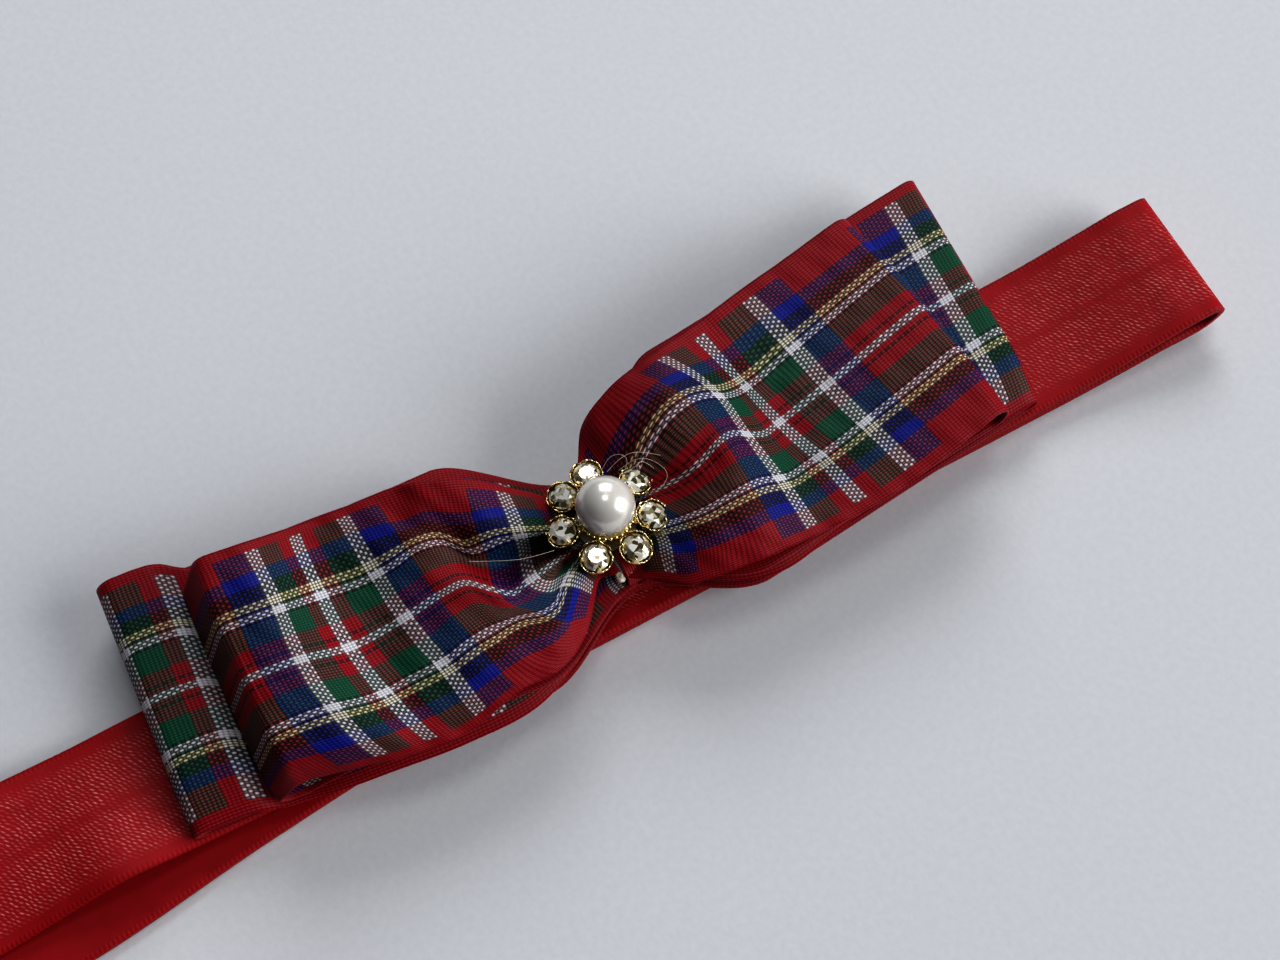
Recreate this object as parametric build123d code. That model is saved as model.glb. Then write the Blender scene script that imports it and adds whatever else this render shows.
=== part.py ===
"""Tartan ribbon hair bow on a closed elastic headband, lying flat.

Frame: millimetres, +Z up, +X along the headband, +Y away from its near edge. The origin is on the
surface that the headband lies on, straight below the bow's waist and on the elastic's centre line.
Every piece is one node: it is written to parts/NODE.step.
"""

from build123d import *
import math
import os

os.makedirs("parts", exist_ok=True)

# Elastic headband: one closed loop, pressed flat, open at its left end
BAND_WIDTH = 14.0
BAND_THICKNESS = 0.9
BAND_RIGHT_X = 65.0  # the right fold's outer face
BAND_LEFT_X = -115.0  # the left fold's outer face
BAND_GAP = 0.3  # between the two runs under the bow
RIGHT_FOLD_GAP = 1.7  # inner height of the right fold
LEFT_FOLD_GAP = 10.0  # inner height of the left fold
RIGHT_RISE_X = BAND_RIGHT_X - 13.0  # where the upper run starts to rise towards the right fold
LEFT_RISE_X = BAND_LEFT_X + 45.0  # and towards the left fold
RISE_RADIUS = 30.0
FOLD_ROUNDNESS = 0.44  # a fold's corner radius as a share of its height
# The runs' centre lines in plan: the lower run bows out in front of the upper one
FOLD_CENTRES = [(BAND_LEFT_X + 15.0, -3.0), (BAND_LEFT_X, -3.5)]
UPPER_CENTRES = [(BAND_RIGHT_X, 0.0), (-55.0, 0.0), (BAND_LEFT_X + 30.0, -1.5)] + FOLD_CENTRES
LOWER_CENTRES = [(BAND_RIGHT_X, 0.0), (-20.0, -0.3), (-40.0, -2.0), (BAND_LEFT_X + 57.0, -4.2),
                 (BAND_LEFT_X + 37.0, -4.6)] + FOLD_CENTRES

# Sewn lap of the elastic, hidden under the bow
SEAM_X = 8.0  # each row's distance from the waist
SEAM_THREAD = 0.22
SEAM_MARGIN = 1.2  # from a row's end to the elastic's edge
SEAM_PITCH = 1.3
SEAM_SWING = 0.9

# Ribbons: two strips, each folded to a pair of loops and gathered at the waist
RIBBON_WIDTH = 25.0
RIBBON_WALL = 0.4
WAIST_WIDTH = 12.0
WAIST_Y = 1.0
WAIST_LAYER = 2.3  # height of one gathered ribbon at the waist
WAIST_HALF = 4.0  # half the length of the waist
SPREAD_X = 12.0  # where a gathered wing reaches the ribbon's full width
PUFF_RADIUS = 4.0
LAYER_CLEAR = 0.1
LOWER_LOOP_HEIGHT = 4.2
UPPER_LOOP_HEIGHT = 4.0
LOWER_LIFT = 0.3  # the lower loops' height above the elastic
UPPER_LIFT = 0.3  # the upper loops' height above the lower ones
# Each fold: its middle in plan, and its turn about Z away from square
LOWER_LEFT_FOLD = (-45.0, 6.8, -4.5)
LOWER_RIGHT_FOLD = (44.2, 7.5, -1.6)
UPPER_LEFT_FOLD = (-35.0, 2.9, -4.4)
UPPER_RIGHT_FOLD = (37.3, 5.3, 7.9)
SPREAD_Y = 1.6  # a wing's middle at SPREAD_X

# Thread wound round both waists
THREAD = 0.3
THREAD_TURNS = 6
THREAD_PITCH = 0.27

# Hot-melt glue pads
GLUE_DEPTH = 0.8  # from the elastic to the waist
BOW_GLUE_INSET = 0.8  # from the waist's end
BOW_GLUE_WIDTH = 9.0
CLUSTER_GLUE_INSET = 1.1
CLUSTER_GLUE_HEIGHT = 0.9

# Flower cluster: a pearl in a cup, and stones in claw cups round it
CLUSTER_Y = 1.0
STONE_ANGLES = [22.0, 86.0, 128.0, 175.0, 230.0, 282.0, 330.0]
STONE_GAP = 0.2  # between the pearl and each cup, seen from above
BASE_THICKNESS = 0.5
BASE_INSET = 0.2  # from a cup's wall to the edge of its pad
BASE_SPOKE = 0.9
CUP_RADIUS = 1.35
CUP_WALL = 0.2
CUP_FLOOR = 0.25
CUP_HEIGHT = 1.3
CLAWS = 4
CLAW_WIDTH = 0.42
CLAW_HEIGHT = 0.5
CLAW_TOE = 0.16  # how far a claw bends in over its stone
STONE_CLEAR = 0.03
STONE_SIDES = 8
STONE_TABLE_RADIUS = 0.62
STONE_CROWN = 0.38
STONE_GIRDLE = 0.08
STONE_CULET_RADIUS = 0.06
CULET_CLEAR = 0.19  # above the cup's floor
PEARL_RADIUS = 2.75
PEARL_OVERHANG = 0.5  # beyond its cup
PEARL_CUP_FLOOR = 0.4
PEARL_CUP_HEIGHT = 1.25
SEAT_CLEAR = 0.02
BEADS = 30
BEAD_RADIUS = 0.2
BEAD_INSET = 0.02  # from the collar's edge to the beads' middles
COLLAR_WIDTH = 0.32
COLLAR_THICKNESS = 0.25

# Sizes that follow from the ones above
CUP_INNER = CUP_RADIUS - CUP_WALL
STONE_RADIUS = CUP_INNER - STONE_CLEAR
STONE_RING = PEARL_RADIUS + STONE_GAP + CUP_RADIUS
STONE_PAVILION = CUP_HEIGHT - CUP_FLOOR - STONE_GIRDLE - CULET_CLEAR
PEARL_CUP_RADIUS = PEARL_RADIUS - PEARL_OVERHANG
COLLAR_RADIUS = PEARL_CUP_RADIUS + COLLAR_WIDTH
BEAD_RING = COLLAR_RADIUS - BEAD_INSET

# Heights that follow from the stack of pieces
BAND_TOP = 2 * BAND_THICKNESS + BAND_GAP
LOWER_WAIST_Z = BAND_TOP + GLUE_DEPTH
UPPER_WAIST_Z = LOWER_WAIST_Z + WAIST_LAYER + LAYER_CLEAR
WAIST_TOP = UPPER_WAIST_Z + WAIST_LAYER
LOWER_LOOP_Z = BAND_TOP + LOWER_LIFT
UPPER_LOOP_Z = LOWER_LOOP_Z + LOWER_LOOP_HEIGHT + UPPER_LIFT
BASE_Z = WAIST_TOP + CLUSTER_GLUE_HEIGHT
CUP_Z = BASE_Z + BASE_THICKNESS
GIRDLE_Z = CUP_Z + CUP_HEIGHT - STONE_GIRDLE
PEARL_Z = CUP_Z + PEARL_CUP_FLOOR + SEAT_CLEAR + PEARL_RADIUS
COLLAR_Z = CUP_Z + PEARL_CUP_HEIGHT - COLLAR_THICKNESS


def save(node, shape):
    """Write one node's solids to its STEP file."""
    shape.label = node
    export_step(shape, f"parts/{node}.step")


def prism(outline, low, high):
    """A straight prism over an outline of (x, y) points, between two heights."""
    face = make_face(Polyline(*outline, close=True))
    return Pos(0, 0, low) * extrude(face, high - low)


def strip_outline(centres, width):
    """The outline of a flat strip of one width along a list of (x, y) centres."""
    near = [(x, y - width / 2) for x, y in centres]
    far = [(x, y + width / 2) for x, y in reversed(centres)]
    return near + far


def band_profile(margin):
    """The headband's side view, as the region inside its middle line moved out by a margin."""
    half = BAND_THICKNESS / 2
    low = half - margin
    upper = BAND_THICKNESS + BAND_GAP + half + margin
    right_top = BAND_THICKNESS + RIGHT_FOLD_GAP + half + margin
    left_top = BAND_THICKNESS + LEFT_FOLD_GAP + half + margin
    right_x = BAND_RIGHT_X - half + margin
    left_x = BAND_LEFT_X + half - margin
    corners = [
        (right_x, low),
        (right_x, right_top),
        (RIGHT_RISE_X, upper),
        (LEFT_RISE_X, upper),
        (left_x, left_top),
        (left_x, low),
    ]
    right_radius = FOLD_ROUNDNESS * (right_top - low)
    left_radius = FOLD_ROUNDNESS * (left_top - low)
    radii = [right_radius, right_radius, RISE_RADIUS, RISE_RADIUS, left_radius, left_radius]
    return make_face(FilletPolyline(*corners, radius=radii, close=True))


def headband():
    """The closed elastic loop: a side view of one thickness, cut to both runs' outlines in plan."""
    half = BAND_THICKNESS / 2
    wall = band_profile(half) - band_profile(-half)
    loop = extrude(Plane.XZ * wall, 2 * BAND_WIDTH, both=True)
    split_z = BAND_THICKNESS + BAND_GAP / 2
    above = 2 * BAND_THICKNESS + LEFT_FOLD_GAP + 1
    lower_run = prism(strip_outline(LOWER_CENTRES, BAND_WIDTH), -1, split_z)
    upper_run = prism(strip_outline(UPPER_CENTRES, BAND_WIDTH), split_z, above)
    return loop & (lower_run + upper_run)


def seam_stitches():
    """Two zigzag rows of thread that hold the elastic's lapped ends."""
    rows = []
    reach = BAND_WIDTH / 2 - SEAM_MARGIN
    steps = int(2 * reach / SEAM_PITCH)
    top = BAND_TOP + SEAM_THREAD / 2
    for side in (-1, 1):
        points = []
        for step in range(steps + 1):
            swing = SEAM_SWING / 2 if step % 2 else -SEAM_SWING / 2
            points.append((side * SEAM_X + swing, -reach + step * SEAM_PITCH, top))
        path = Polyline(*points)
        section = Plane(path @ 0, z_dir=path % 0) * Circle(SEAM_THREAD / 2)
        rows.append(sweep(section, path=path, transition=Transition.ROUND))
    return Compound(children=rows)


def wing_profile(tip, waist_z, loop_z, loop_height):
    """One loop's wall in side view, from the middle of the waist to the fold at x = tip."""
    side = math.copysign(1, tip)
    loop_top = loop_z + loop_height
    waist_top = waist_z + WAIST_LAYER
    waist_middle = waist_z + WAIST_LAYER / 2
    fold_radius = FOLD_ROUNDNESS * loop_height
    corners = [
        (0, waist_z),
        (side * WAIST_HALF, waist_z),
        (side * SPREAD_X, loop_z),
        (tip, loop_z),
        (tip, loop_top),
        (side * SPREAD_X, loop_top),
        (side * WAIST_HALF, waist_top),
        (0, waist_top),
    ]
    radii = [PUFF_RADIUS, PUFF_RADIUS, fold_radius, fold_radius, PUFF_RADIUS, PUFF_RADIUS]
    edge = FilletPolyline(*corners, radius=radii)
    outer = make_face(edge + Line(corners[-1], corners[0]))
    hollow_x = side * (WAIST_HALF + 2 * RIBBON_WALL)
    inner_tip = tip - side * RIBBON_WALL
    inner_corners = [
        (hollow_x, waist_middle - RIBBON_WALL / 2),
        (side * SPREAD_X, loop_z + RIBBON_WALL),
        (inner_tip, loop_z + RIBBON_WALL),
        (inner_tip, loop_top - RIBBON_WALL),
        (side * SPREAD_X, loop_top - RIBBON_WALL),
        (hollow_x, waist_middle + RIBBON_WALL / 2),
    ]
    inner_radius = fold_radius - RIBBON_WALL
    inner_radii = [PUFF_RADIUS, inner_radius, inner_radius, PUFF_RADIUS]
    inner_edge = FilletPolyline(*inner_corners, radius=inner_radii)
    hollow = make_face(inner_edge + Line(inner_corners[-1], inner_corners[0]))
    return outer - hollow


def wing_outline(fold):
    """A wing in plan: narrow at the waist, full width from SPREAD_X, cut square to its own fold."""
    x, y, turn = fold
    side = math.copysign(1, x)
    half = RIBBON_WIDTH / 2
    lean = math.radians(turn)
    step = (-half * math.sin(lean), half * math.cos(lean))
    over = side * RIBBON_WALL
    outline = [
        (0, WAIST_Y - WAIST_WIDTH / 2),
        (side * WAIST_HALF, WAIST_Y - WAIST_WIDTH / 2),
        (side * SPREAD_X, SPREAD_Y - half),
        (x - step[0] + over, y - step[1]),
        (x + step[0] + over, y + step[1]),
        (side * SPREAD_X, SPREAD_Y + half),
        (side * WAIST_HALF, WAIST_Y + WAIST_WIDTH / 2),
        (0, WAIST_Y + WAIST_WIDTH / 2),
    ]
    return outline


def wing(fold, waist_z, loop_z, loop_height):
    """One gathered loop, cut to its outline in plan: its outer half turns with its fold."""
    x, y, turn = fold
    side = math.copysign(1, x)
    wide = 2 * RIBBON_WIDTH
    high = loop_z + loop_height + 1
    profile = wing_profile(x, waist_z, loop_z, loop_height)
    straight = extrude(Plane.XZ * profile, wide, both=True)
    turned = Pos(x, y, 0) * Rot(0, 0, turn) * Pos(-x, -y, 0) * straight
    join_x = (side * SPREAD_X + x) / 2
    outer_half = Pos(join_x + side * wide, 0, high / 2) * Box(2 * wide, 4 * wide, 2 * high)
    wall = (straight - outer_half) + (turned & outer_half)
    return wall & prism(wing_outline(fold), 0, high)


def ribbon(left_fold, right_fold, waist_z, loop_z, loop_height):
    """One strip folded to a left and a right loop, joined at the waist."""
    left = wing(left_fold, waist_z, loop_z, loop_height)
    right = wing(right_fold, waist_z, loop_z, loop_height)
    return left + right


def rounded_box_path(x, margin):
    """A closed line round both waists at one x, a margin outside them."""
    width = WAIST_WIDTH + 2 * margin
    height = WAIST_TOP - LOWER_WAIST_Z + 2 * margin
    middle = (LOWER_WAIST_Z + WAIST_TOP) / 2
    frame = Plane(origin=(x, WAIST_Y, middle), x_dir=(0, 1, 0), z_dir=(1, 0, 0))
    return frame * RectangleRounded(width, height, THREAD)


def binding_thread():
    """Turns of thread side by side round the waists."""
    first = -(THREAD_TURNS - 1) / 2 * THREAD_PITCH
    turns = []
    for turn in range(THREAD_TURNS):
        path = rounded_box_path(first + turn * THREAD_PITCH, THREAD / 2).face().outer_wire()
        start = path @ 0
        section = Plane(start, z_dir=path % 0) * Circle(THREAD / 2)
        turns.append(sweep(section, path=path))
    return turns[0].fuse(*turns[1:])


def thread_room():
    """The space that the wound thread takes, for the pads that are moulded over it."""
    length = THREAD_TURNS * THREAD_PITCH + THREAD
    outer = rounded_box_path(-length / 2, THREAD).face()
    return extrude(outer, length)


def glue_bow():
    """The pad between the elastic and the lower waist."""
    pad = Box(2 * (WAIST_HALF - BOW_GLUE_INSET), BOW_GLUE_WIDTH, GLUE_DEPTH)
    return Pos(0, WAIST_Y, BAND_TOP + GLUE_DEPTH / 2) * pad - thread_room()


def glue_cluster():
    """The pad between the upper waist and the cluster's base."""
    pad = Cylinder(WAIST_HALF - CLUSTER_GLUE_INSET, CLUSTER_GLUE_HEIGHT)
    return Pos(0, CLUSTER_Y, WAIST_TOP + CLUSTER_GLUE_HEIGHT / 2) * pad - thread_room()


def stone_place(angle):
    """The place of one stone's axis on the cluster's ring, at height 0."""
    turn = math.radians(angle)
    x = STONE_RING * math.cos(turn)
    y = CLUSTER_Y + STONE_RING * math.sin(turn)
    return Pos(x, y, 0) * Rot(0, 0, angle)


def setting_base():
    """The flat stamped base: a hub, and a spoke and a round pad under each cup."""
    half = BASE_THICKNESS / 2
    plate = Pos(0, CLUSTER_Y, BASE_Z + half) * Cylinder(PEARL_CUP_RADIUS, BASE_THICKNESS)
    for angle in STONE_ANGLES:
        turned = Pos(0, CLUSTER_Y, BASE_Z + half) * Rot(0, 0, angle)
        plate += turned * Pos(STONE_RING / 2, 0, 0) * Box(STONE_RING, BASE_SPOKE, BASE_THICKNESS)
        plate += turned * Pos(STONE_RING, 0, 0) * Cylinder(CUP_RADIUS - BASE_INSET, BASE_THICKNESS)
    return plate


def stone_cup():
    """A claw cup standing on the base at the origin of its own axis."""
    wall_height = CUP_HEIGHT - CUP_FLOOR
    cup = Pos(0, 0, CUP_Z + CUP_HEIGHT / 2) * Cylinder(CUP_RADIUS, CUP_HEIGHT)
    cup -= Pos(0, 0, CUP_Z + CUP_FLOOR + wall_height / 2) * Cylinder(CUP_INNER, wall_height)
    top = CUP_Z + CUP_HEIGHT
    profile = [
        (CUP_RADIUS, top),
        (CUP_INNER, top),
        (CUP_INNER, top + CLAW_HEIGHT / 3),
        (STONE_RADIUS - CLAW_TOE, top + CLAW_HEIGHT),
        (CUP_RADIUS - CLAW_TOE, top + CLAW_HEIGHT),
    ]
    claw_face = Plane.XZ * make_face(Polyline(*profile, close=True))
    claw = extrude(claw_face, CLAW_WIDTH / 2, both=True)
    for number in range(CLAWS):
        cup += Rot(0, 0, (number + 0.5) * 360 / CLAWS) * claw
    return cup


def rhinestone():
    """A faceted chaton on its own axis: table, crown, girdle, pavilion."""
    girdle_top = GIRDLE_Z + STONE_GIRDLE
    girdle = RegularPolygon(STONE_RADIUS, STONE_SIDES)
    table = RegularPolygon(STONE_TABLE_RADIUS, STONE_SIDES)
    culet = RegularPolygon(STONE_CULET_RADIUS, STONE_SIDES)
    crown = loft([Pos(0, 0, girdle_top) * girdle, Pos(0, 0, girdle_top + STONE_CROWN) * table], ruled=True)
    band = Pos(0, 0, GIRDLE_Z) * extrude(girdle, STONE_GIRDLE)
    pavilion = loft([Pos(0, 0, GIRDLE_Z) * girdle, Pos(0, 0, GIRDLE_Z - STONE_PAVILION) * culet], ruled=True)
    return crown + band + pavilion


def pearl():
    """The round pearl."""
    return Pos(0, CLUSTER_Y, PEARL_Z) * Sphere(PEARL_RADIUS)


def pearl_cup():
    """The cup whose hollow is the pearl's seat."""
    place = Pos(0, CLUSTER_Y, CUP_Z + PEARL_CUP_HEIGHT / 2)
    cup = place * Cylinder(PEARL_CUP_RADIUS, PEARL_CUP_HEIGHT)
    return cup - Pos(0, CLUSTER_Y, PEARL_Z) * Sphere(PEARL_RADIUS + SEAT_CLEAR)


def beaded_collar():
    """A thin ring round the pearl's cup with a row of small beads on it."""
    ring = Cylinder(COLLAR_RADIUS, COLLAR_THICKNESS) - Cylinder(PEARL_CUP_RADIUS, COLLAR_THICKNESS)
    collar = Pos(0, CLUSTER_Y, COLLAR_Z + COLLAR_THICKNESS / 2) * ring
    bead_z = COLLAR_Z + COLLAR_THICKNESS
    beads = []
    for number in range(BEADS):
        turn = 2 * math.pi * number / BEADS
        x = BEAD_RING * math.cos(turn)
        y = CLUSTER_Y + BEAD_RING * math.sin(turn)
        beads.append(Pos(x, y, bead_z) * Sphere(BEAD_RADIUS))
    return collar.fuse(*beads)


save("headband_elastic", headband())
save("seam_stitches", seam_stitches())
save("lower_loop_ribbon",
     ribbon(LOWER_LEFT_FOLD, LOWER_RIGHT_FOLD, LOWER_WAIST_Z, LOWER_LOOP_Z, LOWER_LOOP_HEIGHT))
save("upper_loop_ribbon",
     ribbon(UPPER_LEFT_FOLD, UPPER_RIGHT_FOLD, UPPER_WAIST_Z, UPPER_LOOP_Z, UPPER_LOOP_HEIGHT))
save("binding_thread", binding_thread())
save("glue_bow", glue_bow())
save("glue_cluster", glue_cluster())
save("setting_base", setting_base())
save("pearl_cup", pearl_cup())
save("beaded_collar", beaded_collar())
save("pearl", pearl())
CUP = stone_cup()
STONE = rhinestone()
for index, stone_angle in enumerate(STONE_ANGLES, 1):
    save(f"stone_cup_{index}", stone_place(stone_angle) * CUP)
    save(f"rhinestone_{index}", stone_place(stone_angle) * STONE)
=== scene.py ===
"""Tartan hair bow on a headband: the visual model, in metres, in the CAD frame."""

import math

import bmesh
import bpy
import numpy as np
from mathutils import Matrix, Vector


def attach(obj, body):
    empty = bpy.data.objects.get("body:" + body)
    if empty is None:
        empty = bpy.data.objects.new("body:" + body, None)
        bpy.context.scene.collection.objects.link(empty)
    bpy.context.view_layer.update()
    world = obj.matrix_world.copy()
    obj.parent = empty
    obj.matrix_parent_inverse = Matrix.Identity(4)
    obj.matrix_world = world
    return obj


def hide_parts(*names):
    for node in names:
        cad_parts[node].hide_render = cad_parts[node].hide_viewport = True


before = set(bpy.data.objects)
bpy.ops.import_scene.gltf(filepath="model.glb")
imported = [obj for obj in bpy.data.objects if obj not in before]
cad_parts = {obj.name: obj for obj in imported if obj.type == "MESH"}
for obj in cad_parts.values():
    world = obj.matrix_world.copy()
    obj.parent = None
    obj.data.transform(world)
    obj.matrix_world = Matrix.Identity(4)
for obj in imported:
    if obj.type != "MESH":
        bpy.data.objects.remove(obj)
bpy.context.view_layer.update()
MM = 0.001

scene = bpy.context.scene
scene.view_settings.view_transform = "Standard"
scene.view_settings.look = "High Contrast"

# ---------------------------------------------------------------- camera, floor and light
AZIMUTH = math.radians(-28.6)
ELEVATION = math.radians(68.0)
BACK = Vector((
    math.sin(AZIMUTH) * math.cos(ELEVATION),
    -math.cos(AZIMUTH) * math.cos(ELEVATION),
    math.sin(ELEVATION),
))
RIGHT = Vector((math.cos(AZIMUTH), math.sin(AZIMUTH), 0.0))
UP = BACK.cross(RIGHT)
TARGET = Vector((6.3, 6.0, 0.0)) * MM
CAMERA_DISTANCE = 200 * MM
LAMP_DISTANCE = 2.5
FLOOR_HALF = 6.0
FLOOR_Z = -0.05 * MM


def add_object(name, data):
    """A new object in the scene."""
    thing = bpy.data.objects.new(name, data)
    scene.collection.objects.link(thing)
    return thing


def add_camera():
    data = bpy.data.cameras.new("camera")
    data.sensor_fit = "HORIZONTAL"
    data.sensor_width = 36.0
    data.lens = 57.85
    data.clip_start = 0.01
    data.clip_end = 10.0
    camera = add_object("camera", data)
    turn = Matrix((RIGHT, UP, BACK)).transposed().to_4x4()
    camera.matrix_world = Matrix.Translation(TARGET + BACK * CAMERA_DISTANCE) @ turn
    scene.camera = camera


def add_lamp(name, direction, size, power, colour):
    """A square area light, its side in metres and its power in watts, aimed at the bow."""
    data = bpy.data.lights.new(name, "AREA")
    data.shape = "SQUARE"
    data.size = size
    data.energy = power
    data.color = colour
    lamp = add_object(name, data)
    way = direction.normalized()
    lamp.location = TARGET + way * LAMP_DISTANCE
    lamp.rotation_euler = way.to_track_quat("Z", "Y").to_euler()


# ---------------------------------------------------------------- node helper
class Shader:
    """A material built from nodes, with short calls for the common ones."""

    def __init__(self, name):
        self.material = bpy.data.materials.new(name)
        self.material.use_nodes = True
        self.tree = self.material.node_tree
        self.tree.nodes.clear()
        self.output = self.tree.nodes.new("ShaderNodeOutputMaterial")
        self.bsdf = self.tree.nodes.new("ShaderNodeBsdfPrincipled")
        self.link(self.bsdf.outputs[0], self.output.inputs["Surface"])

    def link(self, source, target):
        self.tree.links.new(source, target)

    def feed(self, socket, value):
        if isinstance(value, bpy.types.NodeSocket):
            self.link(value, socket)
        else:
            socket.default_value = value

    def set(self, **values):
        """Values or links for the shader's own sockets, with _ for a space."""
        for name, value in values.items():
            self.feed(self.bsdf.inputs[name.replace("_", " ")], value)

    def math(self, operation, *values, clamp=False):
        node = self.tree.nodes.new("ShaderNodeMath")
        node.operation = operation
        node.use_clamp = clamp
        for socket, value in zip(node.inputs, values):
            self.feed(socket, value)
        return node.outputs[0]

    def mix(self, factor, a, b, blend="MIX"):
        node = self.tree.nodes.new("ShaderNodeMix")
        node.data_type = "RGBA"
        node.blend_type = blend
        self.feed(node.inputs[0], factor)
        self.feed(node.inputs[6], a)
        self.feed(node.inputs[7], b)
        return node.outputs[2]

    def ramp(self, factor, stops, interpolation="CONSTANT"):
        """A colour ramp from (position, colour) stops."""
        node = self.tree.nodes.new("ShaderNodeValToRGB")
        node.color_ramp.interpolation = interpolation
        elements = node.color_ramp.elements
        while len(elements) > 1:
            elements.remove(elements[-1])
        elements[0].position = stops[0][0]
        elements[0].color = (*stops[0][1], 1.0)
        for position, colour in stops[1:]:
            elements.new(position).color = (*colour, 1.0)
        self.feed(node.inputs[0], factor)
        return node.outputs[0]

    def grey(self, colour):
        """A colour's lightness."""
        node = self.tree.nodes.new("ShaderNodeRGBToBW")
        self.link(colour, node.inputs[0])
        return node.outputs[0]

    def distance(self, a, b):
        """How far apart two colours are."""
        node = self.tree.nodes.new("ShaderNodeVectorMath")
        node.operation = "DISTANCE"
        self.link(a, node.inputs[0])
        self.link(b, node.inputs[1])
        return node.outputs["Value"]

    def cells(self, scale):
        """A random value for each of many small cells."""
        node = self.tree.nodes.new("ShaderNodeTexVoronoi")
        node.inputs["Scale"].default_value = scale
        self.link(self.position(), node.inputs["Vector"])
        split = self.tree.nodes.new("ShaderNodeSeparateColor")
        self.link(node.outputs["Color"], split.inputs[0])
        return split.outputs[0]

    def chance(self, a, b):
        """A random value from 0 to 1 for each pair of whole numbers."""
        node = self.tree.nodes.new("ShaderNodeTexWhiteNoise")
        node.noise_dimensions = "2D"
        self.link(self.combine(a, b), node.inputs["Vector"])
        return node.outputs["Value"]

    def noise(self, scale, detail):
        """Smooth random values from 0 to 1, about scale to the metre."""
        node = self.tree.nodes.new("ShaderNodeTexNoise")
        node.inputs["Scale"].default_value = scale
        node.inputs["Detail"].default_value = detail
        self.link(self.position(), node.inputs["Vector"])
        return node.outputs[0]

    def position(self):
        """The point's place in the object, in metres."""
        node = self.tree.nodes.new("ShaderNodeTexCoord")
        return node.outputs["Object"]

    def height_above_floor(self):
        """Millimetres above the floor."""
        split = self.tree.nodes.new("ShaderNodeSeparateXYZ")
        self.link(self.position(), split.inputs[0])
        return self.math("MULTIPLY", split.outputs[2], 1 / MM)

    def weave(self):
        """The cloth's own map: along the strip, and across it from its centre line."""
        node = self.tree.nodes.new("ShaderNodeUVMap")
        node.uv_map = "weave"
        split = self.tree.nodes.new("ShaderNodeSeparateXYZ")
        self.link(node.outputs[0], split.inputs[0])
        return split.outputs[0], split.outputs[1]

    def combine(self, x, y, z=0.0):
        node = self.tree.nodes.new("ShaderNodeCombineXYZ")
        for socket, value in zip(node.inputs, (x, y, z)):
            self.feed(socket, value)
        return node.outputs[0]

    def bump(self, height, distance, strength):
        node = self.tree.nodes.new("ShaderNodeBump")
        node.inputs["Strength"].default_value = strength
        node.inputs["Distance"].default_value = distance
        self.link(height, node.inputs["Height"])
        self.link(node.outputs[0], self.bsdf.inputs["Normal"])


UV_SCALE = 0.01  # units of the weave map to the millimetre

# ---------------------------------------------------------------- tartan ribbon material
WARP_PITCH = 0.25  # mm between warp threads
WEFT_PITCH = 0.40  # mm between weft threads
SELVAGE_START = 45.5  # warp threads from the centre line
RED = (0.29, 0.002, 0.010)
BLUE = (0.004, 0.010, 0.24)
GREEN = (0.002, 0.080, 0.040)
BLACK = (0.004, 0.004, 0.006)
MAROON = (0.060, 0.002, 0.006)
WHITE = (0.62, 0.61, 0.65)
YELLOW = (0.66, 0.55, 0.20)
# Threads from the ribbon's centre line to its edge, each with where its stripe ends
WARP_STRIPES = [
    (1.5, WHITE), (3.5, RED), (4.5, MAROON), (9.5, RED), (18.5, GREEN), (19.5, BLACK),
    (22.5, WHITE), (23.5, BLACK), (26.5, YELLOW), (31.5, BLACK), (36.5, BLUE), (50.0, RED),
]
# Threads along the ribbon, from one white pivot to the middle of the wide red stripe
WEFT_STRIPES = [(2, WHITE), (6, RED), (13, GREEN), (17, WHITE), (25, BLUE), (35, RED)]


def stripes_to_stops(stripes):
    """Ramp stops, from 0 to 1, for a list of stripes that each end at a thread count."""
    total = stripes[-1][0]
    stops = [(0.0, stripes[0][1])]
    for (end, _), (_, colour) in zip(stripes, stripes[1:]):
        stops.append((end / total, colour))
    return stops


def greys(*stops):
    """Ramp stops of grey, from (position, lightness) pairs."""
    return [(position, (value, value, value)) for position, value in stops]


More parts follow.
